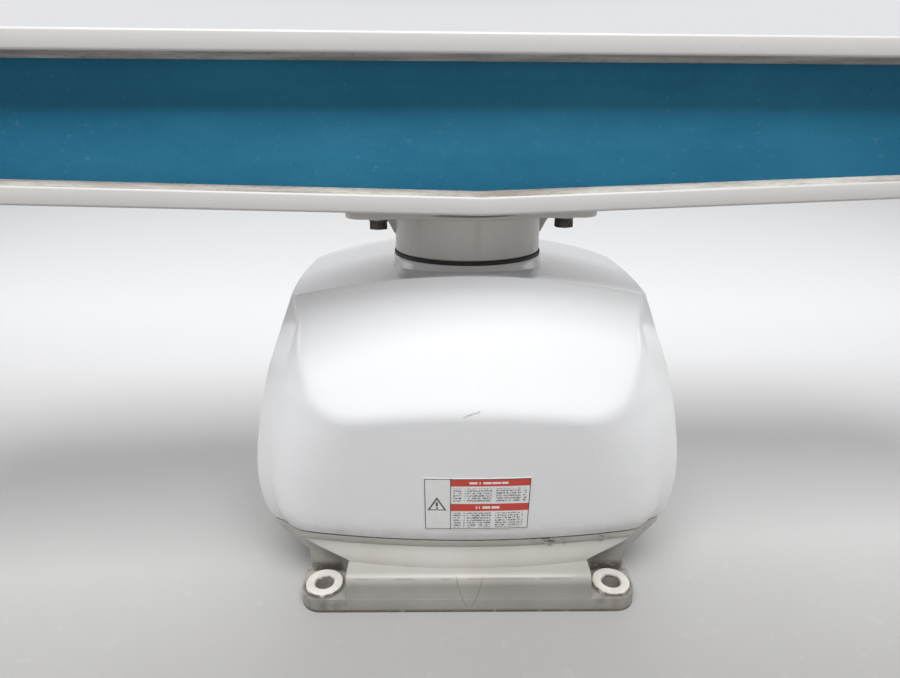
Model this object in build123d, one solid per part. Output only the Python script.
from build123d import *
import os
from math import atan, cos, pi, radians, sin, sqrt

# Open-array radar scanner: a cast foot and moulded cover carry a turning radiator bar.
# Millimetres. The origin is where the turning axis meets the underside of the foot.
# +Z is up, +X runs along the array to the right, and -Y is the front.

os.makedirs("parts", exist_ok=True)

# Foot casting
foot_length = 284.0
foot_depth = 233.0
foot_corner = 18.0
foot_floor = 13.0
foot_height = 51.0
pocket_length = 43.0
pocket_depth = 37.5
pocket_round = 10.0
bolt_inset_x = 22.0
bolt_inset_y = 19.5
bolt_hole = 15.0
foot_ledge = 34.0
casting_wall = 6.0
base_skin = 8.0
seal_washer = 31.0
seal_washer_height = 3.0

# Rim, gasket and cover
rim_thickness = 6.0
rim_side_overhang = 26.0
rim_front_setback = 21.0
rim_rear_overhang = 39.5
gasket_thickness = 2.0
cover_height = 214.0
brow_drop = 88.0
brow_reach = 24.5
rear_reach = 26.0
hip_height = 47.0
hip_reach = 10.0
shoulder_drop = 13.0
shoulder_inset = 30.0
shoulder_round = 18.0
bow_radius = 1050.0
corner_round = 13.0
cover_wall = 4.0
panel_raise = 1.5
cover_bolt = 6.0
collar_diameter = 128.0
collar_height = 3.3
label_width = 83.0
label_height = 52.0
label_thickness = 0.4

# Neck and bracket
seal_height = 2.7
running_gap = 0.3
neck_diameter = 120.0
neck_wall = 8.0
gusset_reach = 14
gusset_height = 20
neck_height = 31.2
flange_length = 208.0
flange_depth = 110.0
flange_thickness = 8.0
bracket_bolt = 8.0
bracket_bolt_x = 72.0
bracket_bolt_y = 38.0
park_angle = 3.7

# Radiator
array_length = 1255.0
array_front = 112.0
array_back = 62.0
array_tip_back = 10.0
array_height = 108.0
array_rise = 19.5
pad_gap = 1.5
lip = 12.0
recess_depth = 29.0
recess_draft = 2.5
face_thickness = 3.0
array_skin = 4.0
end_cap_thickness = 15.0
guide_height = 25.4
guide_depth = 12.7
guide_wall = 1.3
slot_pitch = 24.0

# Drive
module = 2.0
main_teeth = 80
pinion_teeth = 16
encoder_teeth = 20
backlash = 0.2
gear_width = 12.0
shaft_diameter = 40.0
shaft_bore = 30.0
shaft_play = 0.05
bearing_outside = 80.0
bearing_width = 18.0
ball_diameter = 12.0
ball_count = 9
tube_wall = 6.0
motor_diameter = 70.0
encoder_diameter = 40.0
plate_thickness = 8.0
plate_above_rim = 98.0
tray_above_rim = 7.0
tray_thickness = 3.0

# Heights that follow from the sizes above
rim_top = foot_height + rim_thickness
cover_base = rim_top + gasket_thickness
crown = cover_base + cover_height
brow_height = cover_height - brow_drop
shoulder_height = cover_height - shoulder_drop
collar_top = crown + collar_height
neck_base = collar_top + seal_height + running_gap
flange_base = neck_base + neck_height
flange_top = flange_base + flange_thickness
array_base = flange_top + pad_gap
array_top = array_base + array_height
plate_base = rim_top + plate_above_rim
plate_top = plate_base + plate_thickness
tray_top = rim_top + tray_above_rim + tray_thickness
gear_base = plate_base - 19.0
gear_top = gear_base + gear_width
nut_base = gear_base - 18.0
shaft_base = nut_base - 4.0
ring_height = 2.0
lower_bearing = plate_top + ring_height
hub_base = flange_base - 20.5
upper_bearing = hub_base - bearing_width

# Plan positions that follow from the sizes above
block_half = foot_length / 2 - pocket_length
wing_half = foot_depth / 2 - pocket_depth
bolt_x = foot_length / 2 - bolt_inset_x
bolt_y = foot_depth / 2 - bolt_inset_y
rim_side = foot_length / 2 + rim_side_overhang
rim_front = foot_depth / 2 - rim_front_setback
rim_rear = foot_depth / 2 + rim_rear_overhang
pillar_x = foot_length / 2 - 30
pillar_y = wing_half - 17
pinion_y = module * (main_teeth + pinion_teeth) / 2
encoder_x = -module * (main_teeth + encoder_teeth) / 2
gland_height = 21.0
earth_x = -block_half + 32


def corners(x, y):
    """The four points at +-x, +-y."""
    return [(sx * x, sy * y) for sx in (-1, 1) for sy in (-1, 1)]


def block(x0, x1, y0, y1, z0, z1):
    """Rectangular block between two corners."""
    centre = Pos((x0 + x1) / 2, (y0 + y1) / 2, (z0 + z1) / 2)
    return centre * Box(x1 - x0, y1 - y0, z1 - z0)


def disc(diameter, z0, z1, x=0.0, y=0.0):
    """Upright cylinder between two heights."""
    return Pos(x, y, z0) * extrude(Circle(diameter / 2), z1 - z0)


def tube(outside, inside, z0, z1, x=0.0, y=0.0):
    """Upright ring between two heights."""
    return Pos(x, y, z0) * extrude(Circle(outside / 2) - Circle(inside / 2), z1 - z0)


def hexagon(across_flats, z0, z1, x=0.0, y=0.0):
    """Upright hexagonal prism between two heights."""
    shape = RegularPolygon(across_flats / 2, 6, major_radius=False)
    return Pos(x, y, z0) * extrude(shape, z1 - z0)


def filleted(points, radii):
    """Face inside a closed outline with rounded corners."""
    return make_face(FilletPolyline(*points, radius=radii, close=True).edges())


def group(solids):
    """Several separate solids kept as one piece."""
    return Compound(children=list(solids))


def facing_back(solid, x, y, z):
    """Stands a piece built along +Z so that it points to the rear from a wall."""
    return Pos(x, y, z) * Rot(-90, 0, 0) * solid


def parked(piece):
    """Turns a rotor piece to the angle the array is parked at."""
    turned = [Rot(0, 0, park_angle) * solid for solid in piece.solids()]
    return turned[0] if len(turned) == 1 else group(turned)


# Cover and foot


def bowed(profile, centre):
    """Sweeps a side profile round a distant upright axis, so that the wall bows."""
    axis = Axis((0, centre, 0), (0, 0, 1))
    start = (Plane.YZ * profile).rotate(axis, -20)
    return revolve(start, axis, 40)


def cover_block(grow):
    """Solid inside the cover's outside surface, grown or shrunk by a distance."""
    low, high = foot_height - 12, crown + 40
    brow, far = rim_top + brow_height, 400.0
    slope = 0.494 * (high - brow)
    front_low = -rim_front + 0.19 * (foot_height - low)
    rear_low = rim_rear - 0.2 * (foot_height - low)
    front = [(front_low, low), (-rim_front - brow_reach, brow),
             (-rim_front - brow_reach + slope, high), (far, high), (far, low)]
    rear = [(rear_low, low), (rim_rear + rear_reach, brow),
            (rim_rear + rear_reach - 0.56 * (high - brow), high),
            (-far, high), (-far, low)]
    front_face = offset(filleted(front, [0, 26, 0, 0, 0]), grow, kind=Kind.INTERSECTION)
    rear_face = offset(filleted(rear, [0, 40, 0, 0, 0]), grow, kind=Kind.INTERSECTION)
    hip, shoulder = rim_top + hip_height, rim_top + shoulder_height
    wide, top = rim_side + hip_reach, rim_side - shoulder_inset
    right = [(rim_side - 2, low), (wide, hip), (wide - 8, hip + 55), (top, shoulder)]
    left = [(-x, z) for x, z in reversed(right)]
    with BuildSketch() as elevation:
        with BuildLine():
            Polyline(*left)
            Line(left[-1], right[0])
            Polyline(*right)
            ThreePointArc(right[-1], (0, crown), left[0])
        make_face()
        fillet([v for v in elevation.vertices() if abs(v.Y - hip) < 1], 50)
        fillet([v for v in elevation.vertices() if abs(v.Y - hip - 55) < 1], 90)
        fillet([v for v in elevation.vertices() if abs(v.Y - shoulder) < 1], shoulder_round)
    across = offset(elevation.sketch, grow, kind=Kind.INTERSECTION)
    body = extrude(Plane.XZ * across, far, both=True)
    body = body & bowed(front_face, bow_radius - rim_front)
    body = body & bowed(rear_face, rim_rear - bow_radius)
    chain = [e for e in body.edges() if e.bounding_box().size.Z > 0.3]
    return fillet(chain, corner_round + min(grow, 0))


def base_casting(outline):
    """Foot, two crossing blocks and the rim, hollowed from above."""
    half_x, half_y = foot_length / 2, foot_depth / 2
    foot = extrude(RectangleRounded(foot_length, foot_depth, foot_corner), foot_floor)
    front = [(half_y - 1.5, 0), (half_y - 3.5, foot_ledge), (half_y - 13.5, foot_ledge + 2),
             (rim_front, foot_height + 1), (-rim_front, foot_height + 1),
             (13.5 - half_y, foot_ledge + 2), (3.5 - half_y, foot_ledge), (1.5 - half_y, 0)]
    side = [(half_x, 0), (half_x - 3, foot_ledge), (half_x - 5, foot_height + 1),
            (5 - half_x, foot_height + 1), (3 - half_x, foot_ledge), (-half_x, 0)]
    middle = Plane.YZ * filleted(front, [0, 6, 4, 0, 0, 4, 6, 0])
    wings = Plane.XZ * filleted(side, 0)
    cross = extrude(middle, block_half, both=True) + extrude(wings, wing_half, both=True)
    inner = [e for e in cross.edges().filter_by(Axis.Z)
             if abs(abs(e.center().X) - block_half) < 1 and abs(abs(e.center().Y) - wing_half) < 1]
    cross = fillet(inner, pocket_round)
    rim = extrude(Plane.XY * outline, -rim_thickness)
    rim = Pos(0, 0, rim_top - outline.center().Z) * rim
    body = foot + cross + rim
    wall = casting_wall
    wide = half_x - 5 - wall
    body -= block(-wide, wide, wall - wing_half, wing_half - wall, base_skin, rim_top + 1)
    deep, inside = rim_front - wall, block_half - wall
    body -= block(-inside, inside, -deep, deep, base_skin, rim_top + 1)
    low = half_y - 3.5 - wall - 3
    body -= block(-inside, inside, -low, low, base_skin, foot_ledge - wall)
    for x, y in corners(bolt_x, bolt_y):
        body -= disc(bolt_hole, -1, foot_floor + 1, x, y)
    for x, y in cover_bolt_spots():
        body -= disc(cover_bolt, foot_height - 1, rim_top + 1, x, y)
    wall_y = half_y - 2.5
    body -= facing_back(disc(gland_thread, 0, 60), 0, low - 5, gland_height)
    body -= facing_back(disc(earth_thread, -20, 10), earth_x, wall_y, gland_height)
    return body


def cover_bolt_spots():
    """Where the screws rise through the rim into the cover."""
    x = rim_side - cover_boss / 2 - 2
    return [(side * x, y) for side in (-1, 1) for y in (-28.0, rim_rear - 46)]


def top_cover(outside, inside):
    """Moulded shell with the raised front panel, screw bosses and neck collar."""
    span = 2 * rim_side
    brow = rim_top + brow_height
    wide, low = rim_side - 39, rim_side - 60
    panel = [(low, brow - 8), (wide, brow + 25), (wide + 2, crown - 22), (wide - 14, crown - 11),
             (14 - wide, crown - 11), (-wide - 2, crown - 22), (-wide, brow + 25), (-low, brow - 8)]
    pad = extrude(Plane.XZ * filleted(panel, [22, 30, 10, 6, 6, 10, 30, 22]), span)
    raised = cover_block(panel_raise) & pad & block(-span, span, -span, 0, brow - 20, crown)
    above = block(-span, span, -span, span, cover_base, crown + 60)
    body = (outside + raised) & above
    hollow = inside
    for x, y in cover_bolt_spots():
        hollow -= disc(cover_boss, rim_top - 40, cover_base + 16, x, y)
    body -= hollow
    collar = Pos(0, 0, crown - 3) * extrude(Circle(collar_diameter / 2 + 9), 4, taper=52)
    body += collar + disc(collar_diameter, crown - 3, collar_top)
    for x, y in cover_bolt_spots():
        body -= disc(cover_bolt, rim_top, cover_base + 12, x, y)
    return body - disc(neck_hole, crown - 30, collar_top + 1)


def cover_gasket(outline):
    """Flat seal between the rim and the cover, holed for the screws."""
    margin = cover_boss + 2.5
    width, depth = 2 * (rim_side - margin), rim_front + rim_rear - 2 * margin
    opening = Pos(0, (rim_rear - rim_front) / 2) * RectangleRounded(width, depth, 24)
    ring = extrude(outline, gasket_thickness, dir=(0, 0, 1))
    ring -= Pos(0, 0, rim_top - 1) * extrude(opening, gasket_thickness + 2)
    for x, y in cover_bolt_spots():
        ring -= disc(cover_bolt, rim_top - 1, cover_base + 1, x, y)
    return ring


def hex_bolts(spots, thread, head_base, head_height, length, flats):
    """Hexagon-headed screws rising from below."""
    return group(hexagon(flats, head_base, head_base + head_height, x, y)
                 + disc(thread, head_base + head_height, head_base + head_height + length, x, y)
                 for x, y in spots)


def warning_label():
    """Plain sticker that follows the front of the cover."""
    middle = rim_top + 41
    low, high = middle - label_height / 2, middle + label_height / 2
    skin = cover_block(label_thickness) - cover_block(0)
    area = block(-label_width / 2 + 6, label_width / 2 + 6, -400, 0, low, high)
    return skin & area


# Drive


def involute(angle_radius, base):
    """Polar angle of the involute at a radius."""
    roll = sqrt(max((angle_radius / base) ** 2 - 1, 0))
    return roll - atan(roll)


def gear(teeth, turn, bore, z0, z1):
    """Spur gear with involute teeth, one of them centred at the turn angle."""
    pitch = module * teeth / 2
    base = pitch * cos(radians(20))
    root, tip = pitch - 1.25 * module, pitch + module
    half = pi / (2 * teeth) - backlash / (2 * pitch) + involute(pitch, base)
    start = max(root, base)
    radii = [root] + [start + (tip - start) * step / 4 for step in range(5)]
    if base < root:
        radii = radii[1:]
    flank = [(radius, half - involute(max(radius, base), base)) for radius in radii]
    points = []
    for tooth in range(teeth):
        centre = radians(turn) + 2 * pi * tooth / teeth
        points += [(r * cos(centre - a), r * sin(centre - a)) for r, a in flank]
        points += [(r * cos(centre + a), r * sin(centre + a)) for r, a in reversed(flank)]
    shape = make_face(Polyline(*points, close=True).edges()) - Circle(bore / 2)
    return Pos(0, 0, z0) * extrude(shape, z1 - z0)


def race(outside, inside, z0, shift):
    """Bearing ring with the ball groove cut into it."""
    middle = z0 + bearing_width / 2
    groove = Torus(ball_circle / 2 + shift, ball_diameter / 2 + 0.25)
    return tube(outside, inside, z0, z0 + bearing_width) - Pos(0, 0, middle) * groove


def balls(z0):
    """Balls of one bearing, resting in the outer ring."""
    middle = z0 + bearing_width / 2
    angles = [2 * pi * index / ball_count for index in range(ball_count)]
    radius = ball_circle / 2
    return [Pos(radius * cos(a), radius * sin(a), middle) * Sphere(ball_diameter / 2)
            for a in angles]


def bearing_tube():
    """Flanged tube that carries both bearings up inside the neck."""
    body = disc(tube_flange, plate_top, plate_top + plate_thickness)
    body += disc(tube_outside, plate_top, upper_bearing + bearing_width + 2)
    body -= disc(bearing_outside - 8, plate_top - 1, hub_base + 60)
    body -= disc(bearing_outside, plate_top - 1, lower_bearing + bearing_width)
    body -= disc(bearing_outside, upper_bearing, hub_base + 60)
    for x, y in ring_spots(6, tube_screw_circle / 2, 30):
        body -= disc(tube_screw, plate_top - 1, plate_top + plate_thickness + 1, x, y)
    return body


def ring_spots(count, radius, start):
    """Points spaced evenly round the turning axis."""
    angles = [radians(start) + 2 * pi * index / count for index in range(count)]
    return [(radius * cos(a), radius * sin(a)) for a in angles]


def gear_plate():
    """Plate on the pillars that holds the tube, motor and position sensor."""
    x, y = pillar_x + 13, pillar_y + 13
    body = block(-x, x, -y, pinion_y + 40, plate_base, plate_top)
    body -= disc(bearing_outside - 10, plate_base - 1, plate_top + 1)
    body -= disc(20, plate_base - 1, plate_top + 1, 0, pinion_y)
    body -= disc(14, plate_base - 1, plate_top + 1, encoder_x, 0)
    for spot in corners(pillar_x, pillar_y):
        body -= disc(pillar_screw, plate_base - 1, plate_top + 1, *spot)
    for spot in ring_spots(6, tube_screw_circle / 2, 30):
        body -= disc(tube_screw, plate_base - 1, plate_top + 1, *spot)
    for x, y in ring_spots(4, motor_screw_circle / 2, 45):
        body -= disc(motor_screw, plate_base - 1, plate_top + 1, x, y + pinion_y)
    return body


def support_pillars():
    """Stepped pillars from the floor of the casting to the gear plate."""
    shelf = tray_top - tray_thickness
    solids = []
    for x, y in corners(pillar_x, pillar_y):
        post = disc(16, base_skin, shelf, x, y) + disc(12, shelf, plate_base, x, y)
        solids.append(post - disc(pillar_screw, plate_base - 14, plate_base + 1, x, y))
    return group(solids)


def cap_screws(spots, thread, head, head_base, head_height, length):
    """Round-headed screws going down from their heads."""
    return group(disc(head, head_base, head_base + head_height, x, y)
                 + disc(thread, head_base - length, head_base, x, y) for x, y in spots)


def motor_body():
    """Drive motor standing on the gear plate, stepped at its end bell."""
    high = crown - 38
    body = disc(motor_diameter, plate_top, high - 10, 0, pinion_y)
    body += disc(motor_diameter - 14, high - 10, high, 0, pinion_y)
    body -= disc(motor_shaft + 2 * shaft_play, plate_top - 1, plate_top + 38, 0, pinion_y)
    for x, y in ring_spots(4, motor_screw_circle / 2, 45):
        body -= disc(motor_screw, plate_top - 1, plate_top + 9, x, y + pinion_y)
    return body


def drive_shaft():
    """Hollow shaft hung from its top flange, keyed for the main gear."""
    body = disc(shaft_diameter, shaft_base, flange_top)
    body += disc(shaft_flange, flange_top - 6, flange_top)
    body -= disc(shaft_bore, shaft_base - 1, flange_top + 1)
    body -= gear_key()
    for x, y in ring_spots(4, shaft_screw_circle / 2, 45):
        body -= disc(5, flange_top - 7, flange_top + 1, x, y)
        body -= disc(9, flange_top - 3, flange_top + 1, x, y)
    return body


def gear_key():
    """Key between the shaft and the main gear."""
    edge = shaft_diameter / 2
    return block(edge - 3.5, edge + 3, -4, 4, gear_base - 7, gear_top)


def main_gear():
    """Large gear with its hub, bored and keyed to the shaft."""
    body = gear(main_teeth, 0, shaft_diameter, gear_base, gear_top)
    body += tube(60, shaft_diameter, gear_base - 10, gear_base)
    body += tube(50, shaft_diameter, gear_top, lower_bearing)
    for x, y in ring_spots(6, 54, 30):
        body -= disc(26, gear_base - 1, gear_top + 1, x, y)
    return body - parked(gear_key())


def rotor_bracket():
    """Skirted neck, gussets and the flange that carries the radiator."""
    outline = RectangleRounded(flange_length, flange_depth, 12)
    body = Pos(0, 0, flange_base) * extrude(outline, flange_thickness)
    body += tube(neck_diameter, neck_diameter - 2 * neck_wall, neck_base, flange_base)
    body += tube(62, shaft_diameter, hub_base, flange_base)
    start, reach = neck_diameter / 2 - 1, neck_diameter / 2 + gusset_reach
    tip, foot = flange_base - 2, flange_base - gusset_height
    for side in (-1, 1):
        with BuildSketch(Plane.XZ) as web:
            with BuildLine():
                Line((side * start, flange_base), (side * reach, flange_base))
                Line((side * reach, flange_base), (side * reach, tip))
                ThreePointArc((side * reach, tip), (side * (start + 5), flange_base - 8),
                              (side * start, foot))
                Line((side * start, foot), (side * start, flange_base))
            make_face()
        body += extrude(web.sketch, 7, both=True)
    body -= tube(bearing_outside, 62, hub_base - 20, flange_base)
    body -= disc(shaft_diameter, hub_base - 1, flange_top + 1)
    body -= disc(shaft_flange, flange_top - 6, flange_top + 1)
    for x, y in ring_spots(4, shaft_screw_circle / 2, 45):
        body -= disc(5, hub_base + 4, flange_top + 1, x, y)
    for x, y in corners(bracket_bolt_x, bracket_bolt_y):
        body -= disc(bracket_bolt + 1, flange_base - 1, flange_top + 1, x, y)
    return body - seal_ring()


def seal_ring():
    """Round seal let into the top of the flange."""
    return tube(shaft_flange + 12, shaft_flange + 6, flange_top - 2.5, flange_top)


# Radiator


def radiator_block(grow):
    """Solid inside the radiator's outside surface, shrunk for its hollow."""
    half, root = array_length / 2, 110.0
    back = [(-half, -array_front), (half, -array_front), (half, array_tip_back),
            (root, array_back), (-root, array_back), (-half, array_tip_back)]
    plan = offset(filleted(back, [0, 0, 14, 80, 80, 14]), grow)
    tall = [(-half, array_base + array_rise), (0, array_base), (half, array_base + array_rise),
            (half, array_top), (-half, array_top)]
    elevation = offset(filleted(tall, [0, 0, 0, 0, 0]), grow)
    body = Pos(0, 0, array_base - 40) * extrude(plan, 300)
    body = body & extrude(Plane.XZ * elevation, 400, both=True)
    rear = [e for e in body.edges() if e.center().Y > 5 + grow
            and e.bounding_box().size.Z < 20 and e.bounding_box().size.Y < 90]
    rear = [e for e in rear if abs(e.center().X) < half + grow - 1]
    return fillet(rear, rear_round + grow) if rear else body


def front_outline(inset):
    """Outline of the opening in the radiator's front, shrunk all round."""
    side = lip + inset
    half = array_length / 2 - end_cap_thickness - end_web - inset
    rise = array_rise * half / (array_length / 2)
    points = [(-half, array_base + rise + side), (0, array_base + side),
              (half, array_base + rise + side), (half, array_top - side), (-half, array_top - side)]
    return filleted(points, [3, 0, 3, 3, 3])


def front_prism(inset, y0, y1, taper=0.0):
    """Straight or drafted block behind the front outline."""
    plane = Plane.XZ.offset(-y0)
    return extrude(plane * front_outline(inset), y0 - y1, taper=taper)


def slab_beyond(y):
    """Everything behind a plane facing the front."""
    return block(-array_length, array_length, y, 400, 0, 900)


def bolt_bosses():
    """Bosses over the bracket screws, and the pad they share."""
    low, high = flange_top, array_base + 18
    body = block(-flange_length / 2 - 4, flange_length / 2 + 4, -flange_depth / 2 - 4,
                 flange_depth / 2, flange_top, array_base + 8)
    for x, y in corners(bracket_bolt_x, bracket_bolt_y):
        body += disc(24, low, high, x, y)
    for x, y in corners(bracket_bolt_x, bracket_bolt_y):
        body -= disc(bracket_bolt, low - 1, high - 4, x, y)
    return body


def feed_block(grow):
    """Bent duct from the turning axis to the back of the slotted guide."""
    half = 14.0 + grow
    back, base = guide_back, guide_base
    rise = block(-half, half, -8 - grow, 8 + grow, flange_top + min(grow, 0) * 3,
                 base + guide_height + grow)
    return rise + block(-half, half, back, 0, base - grow, base + guide_height + grow)


def slotted_waveguide():
    """Long thin-walled duct with leaning slots along its front."""
    half = array_length / 2 - 40
    front, back = guide_back - guide_depth, guide_back
    wall = guide_wall
    top = guide_base + guide_height
    body = block(-half, half, front, back, guide_base, top)
    body -= block(wall - half, half - wall, front + wall, back - wall, guide_base + wall, top - wall)
    body -= block(-12, 12, back - wall - 1, back + 1, guide_base + wall, top - wall)
    count = int((2 * half - 40) / slot_pitch)
    middle = (guide_base + top) / 2
    cuts = [Pos((index - (count - 1) / 2) * slot_pitch, front, middle)
            * Rot(0, 12 if index % 2 else -12, 0) * Box(1.6, 4, 15) for index in range(count)]
    return body - cuts


def horn_flares():
    """Two sloping plates that open from the slotted guide to the front panel."""
    half = array_length / 2 - 42
    front, back = face_back + frame_depth, guide_back - guide_depth
    low, high = guide_base, guide_base + guide_height
    plates = []
    for level, way in ((low, -1), (high, 1)):
        points = [(back, level), (front, level + way * 13), (front, level + way * 14.5),
                  (back, level + way * 1.5)]
        plates.append(extrude(Plane.YZ * make_face(Polyline(*points, close=True).edges()),
                              half, both=True))
    return group(plates)


def end_cap(side, outside):
    """Closing piece at one tip of the radiator, holed for its screws."""
    inner = array_length / 2 - end_cap_thickness
    x0, x1 = sorted((side * inner, side * array_length))
    body = outside & block(x0, x1, -400, 400, 0, 900)
    return body - group(end_screws(side))


def end_screws(side):
    """Screws of one end cap."""
    tip = array_length / 2
    high = array_top - 18
    low = array_base + array_rise + 18
    spots = [(y, z) for y in (14 - array_front, array_tip_back - 24) for z in (low, high)]
    base = disc(8, 0, 2.4) + disc(4, -end_cap_thickness - 5, 0)
    return [Pos(side * tip, y, z) * Rot(0, side * 90, 0) * base for y, z in spots]


# Sizes of the smaller fittings
cover_boss = 14.0
neck_hole = 104.0
gland_thread = 20.0
gland_flats = 27.0
cable_bore = 12.0
earth_thread = 6.0
ball_circle = (shaft_diameter + bearing_outside) / 2
tube_outside = bearing_outside + 2 * tube_wall
tube_flange = tube_outside + 24
tube_screw = 5.0
tube_screw_circle = tube_outside + 12
pillar_screw = 6.0
motor_screw = 4.0
motor_screw_circle = 52.0
motor_shaft = 10.0
encoder_shaft = 8.0
shaft_flange = 66.0
shaft_screw_circle = 51.5
rear_round = 20.0
end_web = 7.5
frame_depth = 3.0
face_back = recess_depth + face_thickness - array_front
guide_back = -17.3
guide_base = array_base + 41.3

pieces = {}

# Pedestal
outer = cover_block(0)
inner = cover_block(-cover_wall)
split = section(outer, section_by=Plane.XY.offset(rim_top))
pieces["base_casting"] = base_casting(split)
pieces["seal_washers"] = group(
    tube(seal_washer, bolt_hole, foot_floor, foot_floor + seal_washer_height, x, y)
    for x, y in corners(bolt_x, bolt_y))
pieces["cover_gasket"] = cover_gasket(split)
pieces["top_cover"] = top_cover(outer, inner)
pieces["neck_seal"] = tube(neck_diameter + 2, neck_hole + 2, collar_top, collar_top + seal_height)
pieces["cover_bolts"] = hex_bolts(cover_bolt_spots(), cover_bolt, foot_height - 6.5, 5, 18, 10)
pieces["cover_bolt_washers"] = group(
    tube(13, cover_bolt, foot_height - 1.5, foot_height, x, y) for x, y in cover_bolt_spots())
pieces["warning_label"] = warning_label()

# Cable entry and earth point on the rear of the foot
rear_wall = foot_depth / 2 - 2.5
gland = hexagon(gland_flats, 2.5, 9) + disc(24, 9, 14) + disc(gland_thread, -14, 2.5)
gland -= disc(gland_thread - 4, -21, 15)
seal = tube(gland_thread - 4, cable_bore, -6, 14)
cap = hexagon(24, 14, 26) - disc(cable_bore + 1, 13, 27)
pieces["gland_body"] = facing_back(gland, 0, rear_wall, gland_height)
pieces["gland_seal"] = facing_back(seal, 0, rear_wall, gland_height)
pieces["gland_nut"] = facing_back(cap, 0, rear_wall, gland_height)
earth = hexagon(10, 4.5, 8.5) + disc(earth_thread, -6, 4.5)
pieces["earth_screw"] = facing_back(earth, earth_x, rear_wall, gland_height)
pieces["earth_washers"] = facing_back(tube(14, earth_thread, 1.5, 4.5), earth_x, rear_wall,
                                      gland_height)

# Frame, bearings and drive
pieces["support_pillars"] = support_pillars()
pieces["gear_plate"] = gear_plate()
pieces["pillar_screws"] = cap_screws(corners(pillar_x, pillar_y), pillar_screw, 10,
                                     plate_top, 6, plate_thickness + 12)
pieces["bearing_tube"] = bearing_tube()
pieces["tube_screws"] = cap_screws(ring_spots(6, tube_screw_circle / 2, 30), tube_screw, 8.5,
                                   plate_top + plate_thickness, 5, 2 * plate_thickness)
bearing_levels = (lower_bearing, upper_bearing)
pieces["bearing_outer_races"] = group(
    race(bearing_outside, ball_circle + 6, level, -0.25) for level in bearing_levels)
pieces["bearing_inner_races"] = group(
    race(ball_circle - 6, shaft_diameter, level, 0.2) for level in bearing_levels)
pieces["bearing_balls"] = group(ball for level in bearing_levels for ball in balls(level))
pieces["retaining_ring"] = tube(bearing_outside, bearing_outside - 10, plate_top, lower_bearing)
pieces["motor_body"] = motor_body()
pieces["motor_screws"] = hex_bolts(
    [(x, y + pinion_y) for x, y in ring_spots(4, motor_screw_circle / 2, 45)],
    motor_screw, plate_base - 3, 3, plate_thickness + 8, 7)
pieces["encoder_body"] = (disc(encoder_diameter, plate_top, plate_top + 28, encoder_x, 0)
                          - disc(encoder_shaft + 2 * shaft_play, plate_top - 1, plate_top + 24,
                                 encoder_x, 0))
pieces["motor_shaft"] = disc(motor_shaft, gear_base - 2, plate_top + 37, 0, pinion_y)
pieces["motor_pinion"] = Pos(0, pinion_y, 0) * gear(
    pinion_teeth, -90 + 180 / pinion_teeth, motor_shaft, gear_base, gear_top)
pieces["encoder_shaft"] = disc(encoder_shaft, gear_base - 2, plate_top + 23, encoder_x, 0)
pieces["encoder_gear"] = Pos(encoder_x, 0, 0) * gear(
    encoder_teeth, 180 / encoder_teeth, encoder_shaft, gear_base, gear_top)
pieces["main_gear"] = main_gear()
pieces["shaft_nut"] = hexagon(55, nut_base, gear_base - 10) - disc(shaft_diameter, 0, gear_base)

# Radio parts on the tray
tray_x, tray_y = pillar_x + 12, pillar_y + 12
tray = block(-tray_x, tray_x, -tray_y, tray_y + 30, tray_top - tray_thickness, tray_top)
for post_x, post_y in corners(pillar_x, pillar_y):
    tray -= disc(12, tray_top - 10, tray_top + 1, post_x, post_y)
pieces["transceiver_tray"] = tray
duct_top = shaft_base - 16
port = 39.0
duct = block(-8, port, -14, 14, tray_top + 7, tray_top + 23)
duct += block(-8, 8, -14, 14, tray_top + 7, duct_top)
duct -= block(-6.4, port + 1, -12.4, 12.4, tray_top + 8.6, tray_top + 21.4)
duct -= block(-6.4, 6.4, -12.4, 12.4, tray_top + 8.6, duct_top + 1)
pieces["waveguide_bend"] = duct
magnet_x, magnet_y = port + 23, pillar_y - 2
half_deep = min(23.0, magnet_y - 30)
pieces["circulator"] = block(port, port + 46, -half_deep, half_deep, tray_top, tray_top + 30)
joint_cup = disc(44, duct_top, duct_top + 4) + disc(30, duct_top + 4, shaft_base - 3)
pieces["rotary_joint_base"] = joint_cup - disc(20, duct_top - 1, shaft_base)
bottle = disc(50, tray_top, tray_top + 8, magnet_x, magnet_y)
bottle += disc(32, tray_top + 8, tray_top + 50, magnet_x, magnet_y)
for fin in range(5):
    bottle += disc(36, tray_top + 14 + 7 * fin, tray_top + 17 + 7 * fin, magnet_x, magnet_y)
pieces["magnetron"] = bottle
pieces["magnetron_magnets"] = group(
    block(magnet_x + min(way * 18, way * 30), magnet_x + max(way * 18, way * 30),
          magnet_y - 18, magnet_y + 18, tray_top + 8, tray_top + 48) for way in (-1, 1))
pieces["receiver_module"] = (
    block(port - 8, port + 60, -tray_y + 4, -27, tray_top, tray_top + 22)
    + block(port - 6, port + 58, -tray_y + 6, -29, tray_top + 22, tray_top + 24))
board_x0, board_x1 = -tray_x + 26, -24.0
standoffs, boards = [], []
for low_y, high_y in ((-tray_y + 4, -8.0), (2.0, tray_y - 2)):
    board = block(board_x0, board_x1, low_y, high_y, tray_top + 8, tray_top + 9.6)
    for x in (board_x0 + 5, board_x1 - 5):
        for y in (low_y + 5, high_y - 5):
            standoffs.append(disc(6, tray_top, tray_top + 8, x, y))
    boards.append(board)
pieces["board_standoffs"] = group(standoffs)
bench = tray_top + 9.6
middle_x = (board_x0 + board_x1) / 2
power = boards[0] + block(middle_x - 14, middle_x + 14, -44, -20, bench, bench + 22)
for x in (middle_x - 22, middle_x + 22):
    power += disc(12, bench, bench + 20, x, -32)
pieces["power_board"] = power
pulse = boards[1] + block(middle_x - 16, middle_x + 16, 14, 44, bench, bench + 30)
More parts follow.
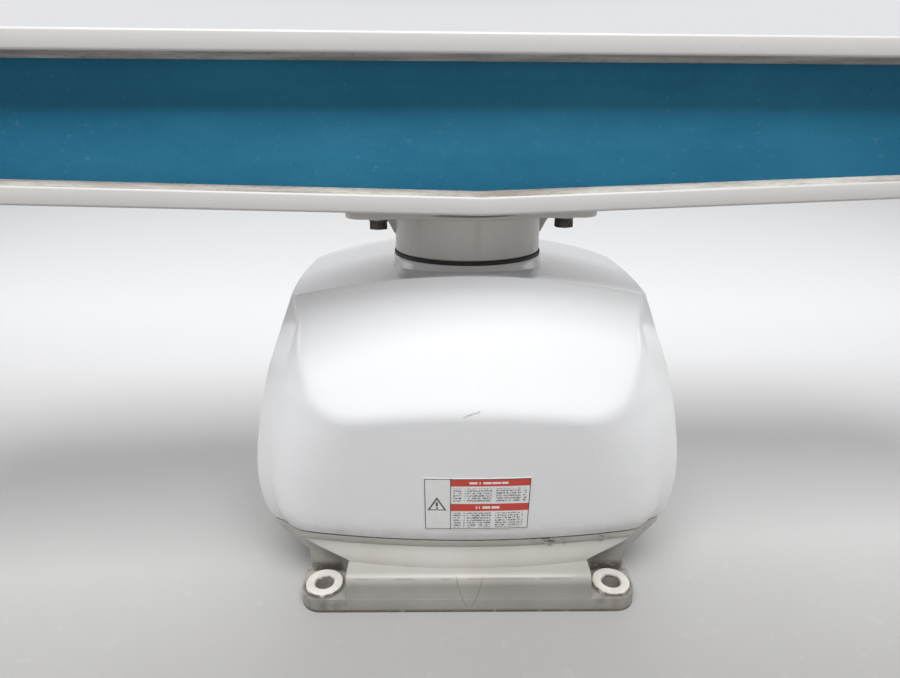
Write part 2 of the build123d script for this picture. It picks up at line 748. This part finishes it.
pieces["modulator_board"] = pulse + block(board_x0 + 3, board_x0 + 11, 12, 46, bench, bench + 12)
terminal = block(-32, 32, wing_half - 6, wing_half + 10, base_skin, base_skin + 14)
for index in range(8):
    terminal -= disc(4, base_skin + 8, base_skin + 15, -28 + 8 * index, wing_half + 2)
pieces["terminal_block"] = terminal

# Rotor, built square to the foot and then turned to the parked angle
rotor = {"drive_shaft": drive_shaft(), "gear_key": gear_key()}
rotor["shaft_screws"] = cap_screws(ring_spots(4, shaft_screw_circle / 2, 45), 5, 9,
                                   flange_top - 3, 3, 16)
rotor["rotor_bracket"] = rotor_bracket()
bolt_spots = corners(bracket_bolt_x, bracket_bolt_y)
rotor["bracket_bolts"] = hex_bolts(bolt_spots, bracket_bolt, flange_base - 8.9, 5.3,
                                   3.6 + flange_thickness + 12, 13)
rotor["bracket_spring_washers"] = group(
    tube(14, bracket_bolt, flange_base - 3.6, flange_base - 1.6, x, y) for x, y in bolt_spots)
rotor["bracket_washers"] = group(
    tube(17, bracket_bolt, flange_base - 1.6, flange_base, x, y) for x, y in bolt_spots)
rotor["waveguide_seal"] = seal_ring()
outside = radiator_block(0)
hollow = radiator_block(-array_skin) & slab_beyond(face_back + frame_depth)
web_x = array_length / 2 - end_cap_thickness - end_web
hollow &= block(-web_x, web_x, -400, 400, 0, 900)
hollow -= bolt_bosses()
shell_x = array_length / 2 - end_cap_thickness
shell = outside & block(-shell_x, shell_x, -400, 400, 0, 900)
shell += block(-flange_length / 2 - 4, flange_length / 2 + 4, -flange_depth / 2 - 4,
               flange_depth / 2, flange_top, array_base + 4)
shell -= front_prism(0, -array_front - 0.001, recess_depth - array_front, recess_draft)
face = front_prism(1.3, recess_depth - array_front, face_back)
shell -= face
shell -= front_prism(6, face_back, face_back + frame_depth)
shell -= hollow
for x, y in bolt_spots:
    shell -= disc(bracket_bolt, flange_top - 1, array_base + 14, x, y)
shell -= feed_block(0)
shell -= group(end_screws(1) + end_screws(-1))
rotor["radiator_shell"] = shell
rotor["radiator_face"] = face
rotor["end_cap_right"] = end_cap(1, outside)
rotor["end_cap_left"] = end_cap(-1, outside)
rotor["end_cap_screws"] = group(end_screws(1) + end_screws(-1))
rotor["slotted_waveguide"] = slotted_waveguide()
rotor["horn_flares"] = horn_flares()
rotor["waveguide_feed"] = feed_block(0) - feed_block(-1.6)
clip_x = [fraction * array_length for fraction in (-0.36, -0.12, 0.12, 0.36)]
rotor["guide_clips"] = group(
    block(x - 10, x + 10, guide_back - guide_depth, guide_back, 0, guide_base) & hollow
    for x in clip_x)
rotor["rotary_joint_probe"] = disc(12, duct_top + 2, guide_base + guide_height - 1.6)

for name, solid in rotor.items():
    pieces[name] = parked(solid)

for name, solid in pieces.items():
    export_step(solid, f"parts/{name}.step")
